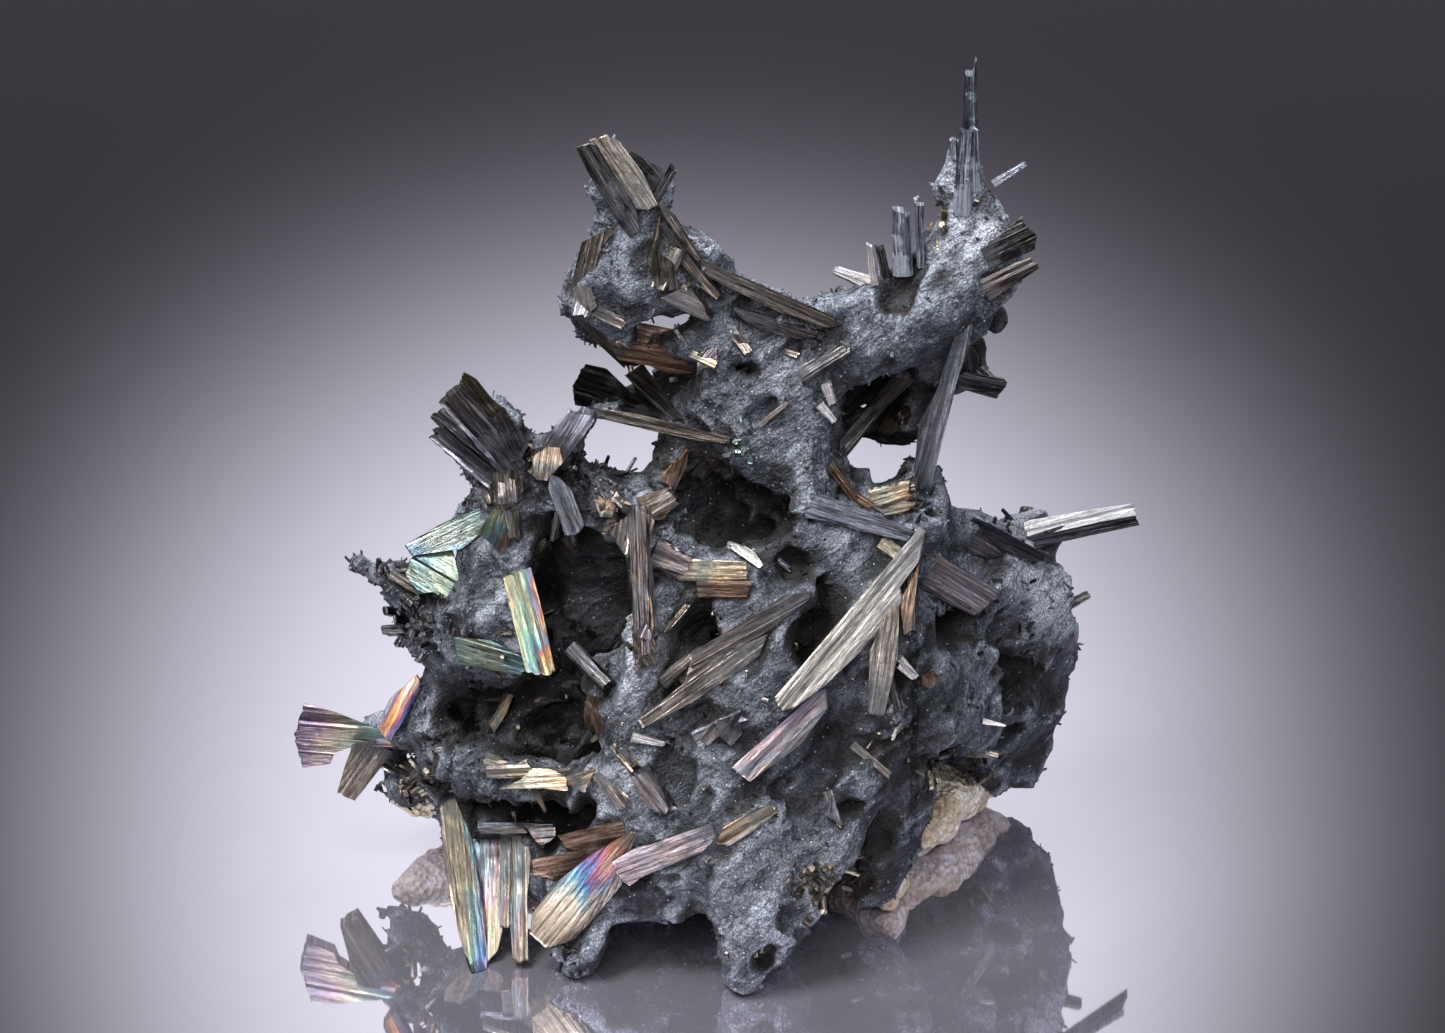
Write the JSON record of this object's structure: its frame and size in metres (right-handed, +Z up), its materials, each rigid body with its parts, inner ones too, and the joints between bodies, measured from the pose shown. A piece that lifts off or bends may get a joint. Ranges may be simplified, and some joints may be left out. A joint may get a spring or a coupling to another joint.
{
  "type": "mineral_specimen",
  "caption": "Dyscrasite specimen: sooty branching matrix with free metallic blades, some iridescent, on cream calcite",
  "frame": {"origin": "on the surface that the specimen rests on, under the middle of its bounding box", "axes": "+Z up, +X to the right as seen from the front, -Y towards the viewer"},
  "size_m": [0.0868, 0.0528, 0.0886],
  "materials": {
    "sooty_matrix": "matt dusty granular",
    "dyscrasite_blades": "striated metallic",
    "tarnished_blades": "iridescent tarnish",
    "coppery_blades": "dull bronze",
    "cream_calcite": "granular, slightly waxy"
  },
  "bodies": {
    "root": {"left_horn": "sooty_matrix", "right_horn": "sooty_matrix", "saddle": "sooty_matrix", "left_cluster": "sooty_matrix", "left_branch": "sooty_matrix", "right_mass": "sooty_matrix", "main_body": "sooty_matrix", "spire": "dyscrasite_blades", "small_dark_blade": "dyscrasite_blades", "upright_plate": "dyscrasite_blades", "horn_tip_blades": "dyscrasite_blades", "arm_blades": "dyscrasite_blades", "lower_dark_blade": "dyscrasite_blades", "upper_dark_blade": "dyscrasite_blades", "inner_dark_blade": "dyscrasite_blades", "prism_crystal": "dyscrasite_blades", "hanging_tip_blade": "dyscrasite_blades", "two_face_crystal": "dyscrasite_blades", "left_long_blade": "tarnished_blades", "turquoise_plate": "tarnished_blades", "iridescent_blade": "tarnished_blades", "shelf_blade": "dyscrasite_blades", "left_fan_blades": "tarnished_blades", "left_upper_blade": "tarnished_blades", "bottom_left_blades": "tarnished_blades", "narrow_foot_blades": "dyscrasite_blades", "foot_fan": "tarnished_blades", "copper_foot_blades": "coppery_blades", "rolled_foot_blade": "tarnished_blades", "upper_foot_blade": "dyscrasite_blades", "light_prism": "dyscrasite_blades", "copper_prism": "coppery_blades", "blue_grey_blade": "dyscrasite_blades", "long_front_blade": "dyscrasite_blades", "second_front_blade": "dyscrasite_blades", "middle_blades": "dyscrasite_blades", "pink_ended_blade": "dyscrasite_blades", "long_hanging_blade": "dyscrasite_blades", "rear_horizontal_blade": "dyscrasite_blades", "white_side_blade": "dyscrasite_blades", "boxy_dark_blades": "dyscrasite_blades", "rear_fan_crystal": "dyscrasite_blades", "rear_copper_plate": "coppery_blades", "thin_bridge_blade": "dyscrasite_blades", "upper_horn_block": "dyscrasite_blades", "lower_horn_block": "dyscrasite_blades", "calcite_base": "cream_calcite"}
  },
  "joints": []
}
